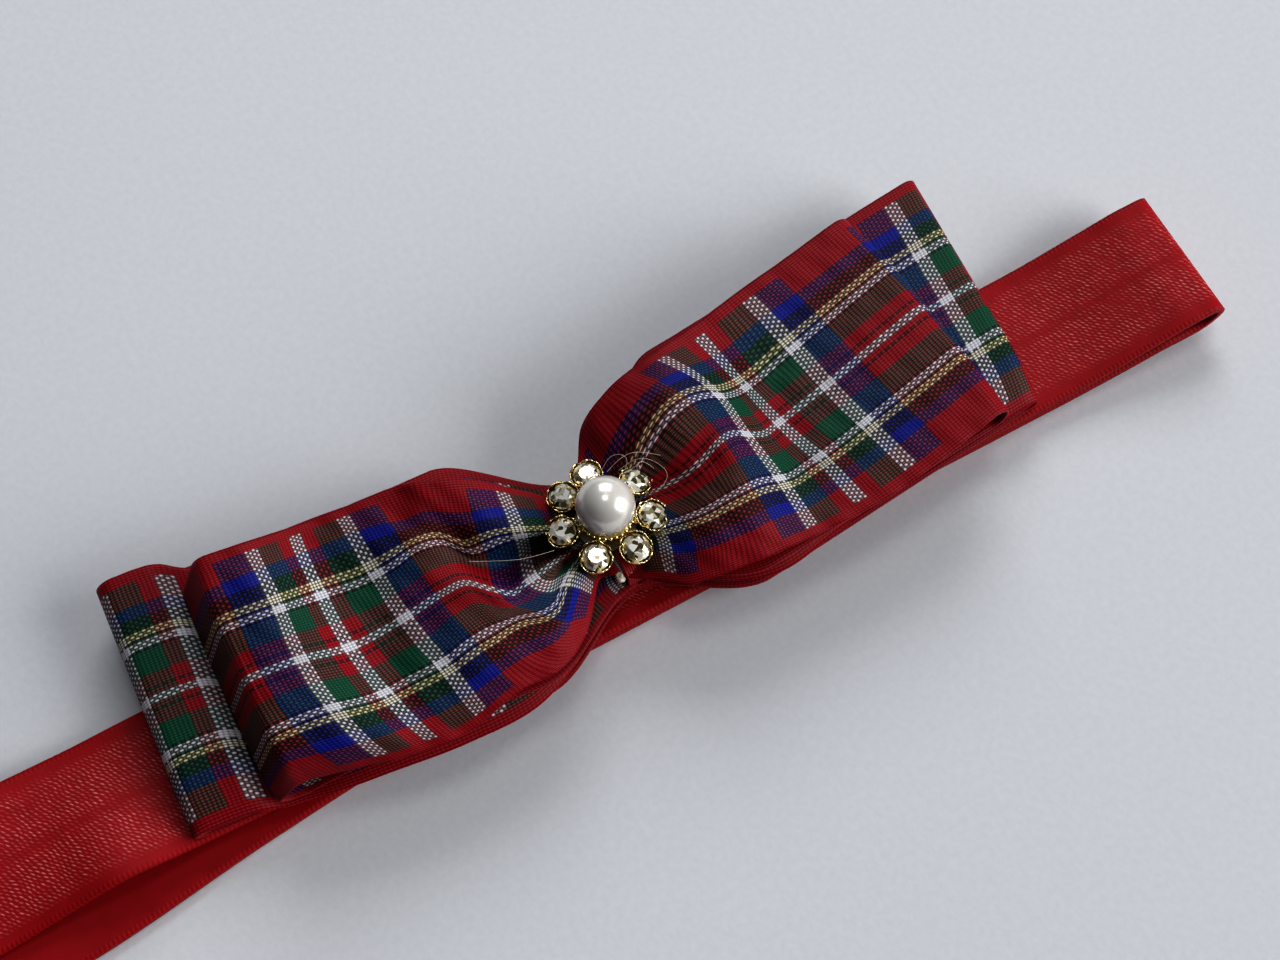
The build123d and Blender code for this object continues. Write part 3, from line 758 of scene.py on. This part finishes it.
# Lower ribbon, top layer: x, middle's y, half width, z
LOWER_TOP = [
    (-43.2, 5.9, 12.5, 6.5),
    (-40.6, 5.6, 12.5, 6.6),
    (-39.4, 5.4, 12.5, 6.5),
    (-38.5, 5.2, 12.5, 5.9),
    (-37.7, 5.0, 12.5, 4.7),
    (-36.8, 4.7, 12.5, 3.9),
    (-35.0, 4.4, 12.5, 3.7),
    (-31.0, 3.5, 12.5, 4.9),
    (-27.0, 2.9, 12.5, 5.9),
    (-20.0, 2.0, 12.5, 6.2),
    (-12.0, 1.5, 11.7, 5.6),
    (-8.0, 1.1, 9.5, 5.0),
    (-4.0, 1.0, 6.6, 4.7),
    (0.0, 1.0, 6.0, 4.7),
    (4.0, 1.0, 6.8, 5.2),
    (8.0, 1.5, 9.8, 6.1),
    (12.0, 2.3, 12.0, 6.3),
    (20.0, 3.6, 12.4, 6.3),
    (30.0, 5.2, 12.5, 6.4),
    (38.0, 5.8, 12.8, 6.6),
    (42.4, 6.2, 12.9, 6.5),
]
# Weft lines of the lower ribbon: mm along the cloth from its left pivot, then x
LOWER_WEFTS = [(-4.5, -43.2), (0.0, -38.7), (78.0, 40.3), (81.0, 43.0)]
LOWER_FOLD_Z = 2.6
LOWER_WAIST_Z = 3.2
LOWER_HALF_LENGTH = 43.0
FOLD_SLANT = 0.75  # in x, from a fold's middle to its edge
DROOP = 0.75  # share of the room below that the near edge sinks by
ROOM_BELOW_Z = 3.3
UPPER_GAP = 0.6  # from the lower ribbon's top layer up to the upper ribbon's under layer


def lower_ribbon():
    table = np.array(LOWER_TOP)
    samples = 300
    x = np.linspace(table[0, 0], table[-1, 0], samples)
    middle, half, z = smooth(table[:, 0], table[:, 1:], x).T
    wefts = np.array(LOWER_WEFTS)
    points = np.empty((samples, len(COLUMNS), 3))
    points[:, :, 0] = x[:, None] + np.outer(np.abs(x) / LOWER_HALF_LENGTH, FOLD_SLANT * REACH)
    points[:, :, 1] = middle[:, None] + np.outer(half, REACH)
    # The near side, beyond 0.55 of the half width, droops towards the layer below
    near = np.clip((-0.55 - REACH) / 0.45, 0, 1) ** 2
    room = np.clip(z - ROOM_BELOW_Z, 0, ROOM_BELOW_Z)
    points[:, :, 2] = z[:, None] - np.outer(room, DROOP * near)
    maps = np.repeat(np.interp(x, wefts[:, 1], wefts[:, 0])[:, None], len(COLUMNS), axis=1)
    points, maps = even_rows(points, maps, count=260)
    left_fold = fold_rows(points[0], bulge=1.7, bottom=LOWER_FOLD_Z, outward=(-1.0, 0.05))
    right_fold = fold_rows(points[-1], bulge=1.7, bottom=LOWER_FOLD_Z, outward=(1.0, 0.1))
    left_under = under_rows(left_fold[-1], -1)
    right_under = under_rows(right_fold[-1], 1)
    for row in left_under + right_under:
        share = gathered(row[:, 0])
        row[:, 2] = row[:, 2] * (1 - share) + LOWER_WAIST_Z * share
    points, maps = strip(points, maps, left_fold + left_under, right_fold + right_under)
    piece = sheet_mesh("lower_bow_ribbon", points, maps, COLUMNS)
    thicken(piece, RIBBON_THICKNESS)
    return piece


# ---------------------------------------------------------------- elastic headband
# All in mm
BAND_HALF = 7.0
BAND_THICKNESS = 0.8
BAND_LOWEST = 0.42  # the middle surface's least height, which keeps the band on the floor
# The band's middle surface, once round: x, its middle's y, z, and its roll about its own line
BAND_LOOP = [
    (64.0, 0.0, 2.3, 0.0), (58.0, 0.0, 1.3, 0.0), (50.0, 0.0, 0.62, 0.0), (40.0, 0.0, 0.45, 0.0),
    (0.0, 0.0, 0.45, 0.0), (-20.0, -0.3, 0.45, 0.0), (-40.0, -2.0, 0.45, 0.0), (-58.0, -4.2, 0.45, 0.0),
    (-78.0, -4.6, 0.45, 0.0), (-100.0, -3.0, 0.45, 0.0), (-110.0, -3.2, 0.6, 0.0), (-114.2, -3.5, 3.0, 0.0),
    (-114.4, -3.5, 6.0, 0.0), (-113.0, -3.5, 9.4, 0.0), (-108.0, -3.3, 10.4, 0.0), (-100.0, -3.0, 9.8, 0.0),
    (-85.0, -1.5, 5.4, 0.0), (-72.0, -0.6, 2.6, 0.5), (-64.0, -0.2, 2.1, 0.7), (-58.0, 0.0, 2.2, -0.3),
    (-53.0, 0.0, 2.6, -1.1), (-47.0, 0.0, 2.2, -0.4), (-40.0, 0.0, 1.7, 0.0), (0.0, 0.0, 1.65, 0.0),
    (40.0, 0.0, 1.7, 0.0), (50.0, 0.0, 2.3, 0.0), (57.0, 0.0, 3.6, 0.0), (62.0, 0.0, 4.4, 0.0),
    (64.3, 0.0, 4.1, 0.0), (64.55, 0.0, 3.2, 0.0),
]


def elastic_band():
    table = np.array(BAND_LOOP)
    closed = np.vstack([table[-2:], table, table[:3]])
    key = np.zeros(len(closed))
    key[1:] = np.cumsum(np.linalg.norm(np.diff(closed[:, :3], axis=0), axis=1))
    start, stop = key[2], key[2 + len(table)]
    want = np.linspace(start, stop, 721)[:-1]
    path = smooth(key, closed, want)
    columns = np.linspace(BAND_HALF, -BAND_HALF, 29)
    points = np.empty((len(path), len(columns), 3))
    points[:, :, 0] = path[:, 0:1]
    points[:, :, 1] = path[:, 1:2] + columns[None, :]
    level = path[:, 2:3] + path[:, 3:4] * columns[None, :] / BAND_HALF
    points[:, :, 2] = np.maximum(level, BAND_LOWEST)
    maps = np.repeat(np.append(want, stop)[:, None] - start, len(columns), axis=1)
    piece = sheet_mesh("elastic_band", points, maps, columns, closed=True)
    thicken(piece, BAND_THICKNESS)
    return piece, stop - start


# ---------------------------------------------------------------- the jewel
# All in mm
JEWEL_Y = 1.0
CUP_RADIUS = 1.52
CUP_WALL = 0.13
CUP_FOOT_Z = 9.0
CUP_RIM_Z = 10.05
CLAWS = 4
CLAW_RISE = 0.95
SCALLOPS = 8
SCALLOP_DEPTH = 0.16
STONE_RADIUS = 1.30
# How far each stone leans outward, as a slope
STONE_TILT = {1: 0.34, 2: 0.25, 3: 0.12, 4: 0.12, 5: 0.10, 6: 0.16, 7: 0.30}


def node_box(name):
    """The middle of a CAD piece, and the least and most of each axis, in mm."""
    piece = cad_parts[name]
    corners = np.array([piece.matrix_world @ Vector(corner) for corner in piece.bound_box]) / MM
    low, high = corners.min(axis=0), corners.max(axis=0)
    return (low + high) / 2, low, high


def hard_mesh(name, verts, faces):
    """A flat-shaded mesh from points in mm."""
    mesh = bpy.data.meshes.new(name)
    mesh.from_pydata([Vector(v) * MM for v in verts], [], faces)
    mesh.update()
    return add_object(name, mesh)


def leaning_point(centre, reach, angle, z, slope):
    """A point reach away from a stone's axis, lower on the side away from the jewel's middle."""
    out = Vector((centre[0], centre[1] - JEWEL_Y, 0.0)).normalized()
    x, y = reach * math.cos(angle), reach * math.sin(angle)
    away = x * out.x + y * out.y
    return (centre[0] + x, centre[1] + y, z - away * slope)


def ring(centre, radius, z, count, turn, tilt):
    """Points of a ring that leans outward from the jewel's middle."""
    angles = [turn + 2 * math.pi * k / count for k in range(count)]
    return [leaning_point(centre, radius, angle, z, tilt) for angle in angles]


def brilliant(name, centre, turn, tilt):
    """A round cut stone: an eight-sided table, star and kite facets, a girdle and a pointed back."""
    size, level = STONE_RADIUS, CUP_RIM_Z
    table = ring(centre, size * 0.55, level + size * 0.42, 8, turn, tilt)
    stars = ring(centre, size * 0.80, level + size * 0.26, 8, turn + math.pi / 8, tilt)
    girdle = ring(centre, size, level, 16, turn, tilt)
    back = ring(centre, size * 0.55, level - size * 0.25, 8, turn, tilt)
    verts = table + stars + girdle + back + [(centre[0], centre[1], level - size * 0.38)]
    # Points 0 to 7 are the table, 8 to 15 the stars, 16 to 31 the girdle, 32 to 39 the back, 40 its tip
    faces = [tuple(range(8))]
    for k in range(8):
        n = (k + 1) % 8
        a, b = 16 + 2 * k, 16 + (2 * k + 1) % 16
        c = 16 + (2 * k + 2) % 16
        faces += [(k, 8 + k, n), (k, a, 8 + k), (8 + k, a, b), (8 + k, b, c), (n, 8 + k, c)]
        faces += [(a, 32 + k, b), (b, 32 + k, 32 + n), (b, 32 + n, c), (32 + k, 40, 32 + n)]
    return hard_mesh(name, verts, faces)


def cup_point(centre, angle, turn, share, tilt):
    """A point of a cup's wall, share of the way from its foot up to its rim or claw."""
    claw = max(0.0, math.cos(CLAWS * (angle - turn))) ** 5
    scallop = SCALLOP_DEPTH * math.cos(SCALLOPS * (angle - turn) + math.pi)
    top = CUP_RIM_Z + scallop + CLAW_RISE * claw
    z = CUP_FOOT_Z + (top - CUP_FOOT_Z) * share
    rise = min(1.0, (z - CUP_FOOT_Z) / (CUP_RIM_Z - CUP_FOOT_Z))
    over = max(0.0, z - CUP_RIM_Z)
    # The wall widens up to the rim, and past it the claws bend in
    reach = CUP_RADIUS * (0.80 + 0.20 * rise) - 0.42 * over ** 1.5
    return leaning_point(centre, reach, angle, z, tilt * share)


def claw_cup(name, centre, turn, tilt):
    """A stone's cup: a scalloped wall with four claws that bend in over the stone."""
    around, rows = 72, 14
    verts = []
    for row in range(rows):
        for k in range(around):
            angle = 2 * math.pi * k / around
            verts.append(cup_point(centre, angle, turn, row / (rows - 1), tilt))
    faces = []
    for row in range(rows - 1):
        low, high = row * around, (row + 1) * around
        for k in range(around):
            n = (k + 1) % around
            faces.append((low + k, low + n, high + n, high + k))
    faces.append(tuple(reversed(range(around))))
    piece = hard_mesh(name, verts, faces)
    shade_smooth(piece.data)
    thicken(piece, CUP_WALL)
    return piece


def strands(name, routes, radius):
    """Thin round strands, each through its own list of points in mm."""
    curve = bpy.data.curves.new(name, "CURVE")
    curve.dimensions = "3D"
    curve.bevel_depth = radius * MM
    curve.bevel_resolution = 2
    curve.use_fill_caps = True
    for route in routes:
        spline = curve.splines.new("NURBS")
        spline.points.add(len(route) - 1)
        for point, place in zip(spline.points, route):
            point.co = (*(Vector(place) * MM), 1.0)
        spline.use_endpoint_u = True
        spline.order_u = 3
    drawn = add_object(name + "_route", curve)
    graph = bpy.context.evaluated_depsgraph_get()
    mesh = bpy.data.meshes.new_from_object(drawn.evaluated_get(graph))
    bpy.data.objects.remove(drawn)
    mesh.name = name
    shade_smooth(mesh)
    return add_object(name, mesh)


def fleck(name, centre, size):
    """A small lump of set glue with an uneven surface, from its middle and its half sizes in mm."""
    mesh = bpy.data.meshes.new(name)
    shape = bmesh.new()
    bmesh.ops.create_icosphere(shape, subdivisions=3, radius=1.0)
    for vert in shape.verts:
        x, y, z = vert.co
        bumps = 0.14 * math.sin(4.1 * x + 1.0) * math.cos(5.3 * y) + 0.12 * math.sin(6.2 * z + 3.0 * x)
        vert.co = (Vector(centre) + Vector((x * size[0], y * size[1], z * size[2])) * (1 + bumps)) * MM
    shape.to_mesh(mesh)
    shape.free()
    shade_smooth(mesh)
    return add_object(name, mesh)


STRAND_RADIUS = 0.024
FIBRE_RADIUS = 0.022
FLECK_CENTRE = (-1.4, -4.4, 7.9)
FLECK_SIZE = (0.38, 0.5, 0.42)
# Loose ends of glue beside the pearl, and a fine fibre over the left wing
GLUE_HAIRS = [
    [(1.2, 4.6, 9.6), (2.4, 5.4, 11.2), (3.6, 5.0, 12.0), (4.2, 4.2, 11.4), (3.4, 3.6, 11.0)],
    [(2.0, 4.4, 10.6), (3.6, 4.8, 11.6), (5.4, 4.4, 11.8), (6.9, 3.2, 11.4)],
    [(3.0, 4.0, 10.6), (4.8, 4.2, 11.5), (6.3, 2.8, 11.6), (6.9, 1.0, 11.0), (5.4, 0.6, 10.6)],
    [(2.8, 3.6, 10.8), (4.0, 3.0, 11.8), (5.2, 3.6, 11.9), (5.8, 2.4, 11.2)],
]
LOOSE_FIBRE = [(-13.2, 2.2, 11.9), (-10.8, 1.1, 11.4), (-8.2, 0.2, 10.9), (-5.8, 0.0, 10.4)]


def rounded(value, power=0.35):
    """A sine or cosine pushed out from a circle towards a square with round corners."""
    return math.copysign(abs(value) ** power, value)


def binding_loops(name):
    """Sewing thread wound side by side round the waist, where the CAD's thread lies."""
    middle, low, high = node_box("binding_thread")
    turns = 6
    pitch = (high[0] - low[0]) / turns
    half_y, half_z = 0.45 * (high[1] - low[1]), 0.46 * (high[2] - low[2])
    route = []
    steps = 24
    for k in range(turns * steps + 1):
        angle = 2 * math.pi * k / steps
        x = low[0] + pitch * (0.5 + k / steps * (turns - 1) / turns)
        y = middle[1] + half_y * rounded(math.cos(angle))
        z = middle[2] + half_z * rounded(math.sin(angle))
        route.append((x, y, z))
    return strands(name, [route], pitch * 0.56)


def add_floor():
    mesh = bpy.data.meshes.new("floor")
    signs = [(-1, -1), (1, -1), (1, 1), (-1, 1)]
    mesh.from_pydata([(a * FLOOR_HALF, b * FLOOR_HALF, FLOOR_Z) for a, b in signs], [], [(0, 1, 2, 3)])
    floor = add_object("floor", mesh)
    floor.data.materials.append(floor_material())


def paint(piece, material):
    piece.data.materials.clear()
    piece.data.materials.append(material)


def dress(piece, material):
    """Give a new piece its material and its body."""
    paint(piece, material)
    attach(piece, "root")


def add_world():
    """Soft surrounding light, brighter from above and from the right."""
    world = bpy.data.worlds.new("world")
    world.use_nodes = True
    tree = world.node_tree
    background = tree.nodes["Background"]
    coordinate = tree.nodes.new("ShaderNodeTexCoord")
    side = tree.nodes.new("ShaderNodeVectorMath")
    side.operation = "DOT_PRODUCT"
    side.inputs[1].default_value = (0.5, 0.4, 0.77)
    tree.links.new(coordinate.outputs["Generated"], side.inputs[0])
    ramp = tree.nodes.new("ShaderNodeValToRGB")
    dark, light = ramp.color_ramp.elements
    dark.position = 0.0
    dark.color = (0.012, 0.013, 0.016, 1.0)
    light.position = 1.0
    light.color = (0.17, 0.18, 0.205, 1.0)
    tree.links.new(side.outputs["Value"], ramp.inputs[0])
    tree.links.new(ramp.outputs[0], background.inputs["Color"])
    background.inputs["Strength"].default_value = 1.0
    scene.world = world


add_camera()
add_floor()
add_lamp("key", BACK * 0.86 + UP * 0.52, 0.61, 6.6, (1.0, 0.99, 0.97))
add_lamp("right", BACK * 0.45 + RIGHT * 0.86 + UP * 0.05, 1.67, 51.0, (1.0, 1.0, 1.0))
add_lamp("window", BACK * 0.25 + UP * 0.97, 1.39, 27.0, (0.98, 0.99, 1.0))
add_world()

TARTAN = tartan_material()
ELASTIC = elastic_material()
GOLD = gold_material()
CRYSTAL = crystal_material()
PEARL = pearl_material()
GLUE = glue_material()
THREAD = thread_material()

upper = upper_ribbon()
dress(upper, TARTAN)
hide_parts("upper_loop_ribbon")

lower = lower_ribbon()
dress(lower, TARTAN)
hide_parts("lower_loop_ribbon")

band, band_length = elastic_band()
dress(band, ELASTIC)
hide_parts("headband_elastic")

for number, tilt in STONE_TILT.items():
    middle, _, _ = node_box(f"stone_cup_{number}")
    angle = math.atan2(middle[1] - JEWEL_Y, middle[0])
    cup = claw_cup(f"claw_cup_{number}", middle, angle + 0.4 * number, tilt)
    dress(cup, GOLD)
    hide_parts(f"stone_cup_{number}")
    stone = brilliant(f"cut_stone_{number}", middle, angle + 0.7 * number, tilt)
    dress(stone, CRYSTAL)
    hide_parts(f"rhinestone_{number}")

binding = binding_loops("binding_loops")
dress(binding, THREAD)
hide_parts("binding_thread")
hairs = strands("glue_hairs", GLUE_HAIRS, STRAND_RADIUS)
dress(hairs, GLUE)
lump = fleck("glue_fleck", FLECK_CENTRE, FLECK_SIZE)
dress(lump, GLUE)
fibre = strands("loose_fibre", [LOOSE_FIBRE], FIBRE_RADIUS)
dress(fibre, GLUE)

CAD_LOOKS = {
    "pearl": PEARL, "pearl_cup": GOLD, "beaded_collar": GOLD, "setting_base": GOLD,
    "glue_bow": GLUE, "glue_cluster": GLUE, "seam_stitches": THREAD,
}
for node, material in CAD_LOOKS.items():
    paint(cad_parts[node], material)
